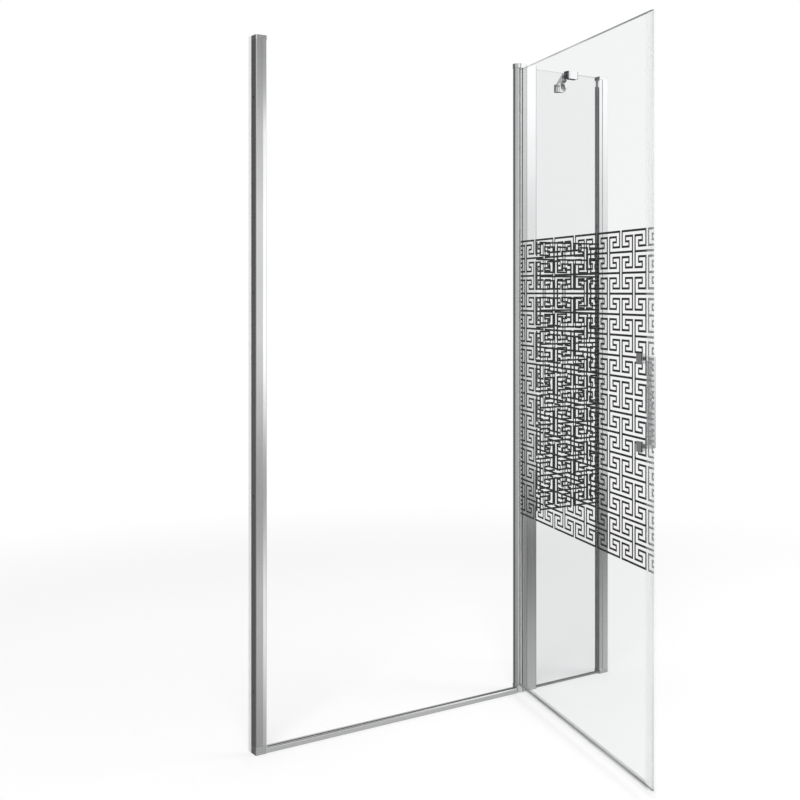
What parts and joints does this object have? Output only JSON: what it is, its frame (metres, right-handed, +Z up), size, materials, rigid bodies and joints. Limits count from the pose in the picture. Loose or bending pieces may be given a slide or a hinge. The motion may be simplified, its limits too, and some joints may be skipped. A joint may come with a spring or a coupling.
{
  "type": "pivot shower door with fixed side panel",
  "caption": "Niche shower door: a clear glass leaf with a D handle turns on a round hinge profile beside a fixed glass panel, with wall channels, a threshold and a wall brace.",
  "frame": {"origin": "on the underside of the threshold, midway between the two side walls, in the vertical plane of the closed door glass", "axes": "+X along the opening from the strike side to the hinge side, +Y into the shower, +Z up; the door stands 74.5 degrees open towards -Y"},
  "size_m": [1.2, 1.0071, 1.86],
  "materials": {
    "bright_aluminium": "polished, bright anodised extrusion",
    "chrome_cap": "chrome-plated moulding or casting",
    "steel": "stainless, plain",
    "clear_glass": "clear toughened pane with a printed black meander band",
    "clear_pvc": "translucent soft PVC",
    "pale_pvc": "pale soft PVC",
    "black_rubber": "matt",
    "grey_rubber": "matt, glazing rubber",
    "magnet_pvc": "soft PVC over a magnet strip",
    "white_nylon": "nylon"
  },
  "bodies": {
    "frame": {"bottom_pivot_block": "chrome_cap", "brace_arm": "chrome_cap", "brace_clamp_pads": "black_rubber", "brace_clamp_screw": "steel", "brace_glass_clamp": "chrome_cap", "brace_pins": "steel", "brace_wall_foot": "chrome_cap", "fixed_glass": "clear_glass", "fixed_glass_bottom_seal": "grey_rubber", "fixed_panel_profile": "bright_aluminium", "panel_glazing_gaskets": "grey_rubber", "panel_top_cap": "chrome_cap", "pivot_block_screws": "steel", "pivot_pins": "steel", "pivot_post": "bright_aluminium", "pivot_washers": "white_nylon", "right_bottom_cap": "chrome_cap", "right_glass_profile": "bright_aluminium", "right_glazing_gaskets": "grey_rubber", "right_lock_screws": "steel", "right_top_cap": "chrome_cap", "right_wall_channel": "bright_aluminium", "strike_bottom_cap": "chrome_cap", "strike_lock_screws": "steel", "strike_magnet_strip": "magnet_pvc", "strike_profile": "bright_aluminium", "strike_top_cap": "chrome_cap", "strike_wall_channel": "bright_aluminium", "threshold_gasket": "black_rubber", "threshold_strip": "bright_aluminium", "top_pivot_block": "chrome_cap", "wall_seal_strip": "pale_pvc"},
    "door": {"bottom_sweep_seal": "clear_pvc", "door_glass": "clear_glass", "free_edge_seal": "clear_pvc", "handle_bar": "chrome_cap", "handle_plates": "chrome_cap", "handle_studs": "steel", "handle_washers": "clear_pvc", "hinge_bushes": "white_nylon", "hinge_gasket": "grey_rubber", "hinge_profile": "bright_aluminium"}
  },
  "joints": [
    {"name": "door_hinge", "type": "hinge", "parent": "frame", "child": "door", "pos_m": [0.258, 0, 0.93], "axis": [0, 0, 1], "range_deg": [-74.5, 25.5]}
  ]
}
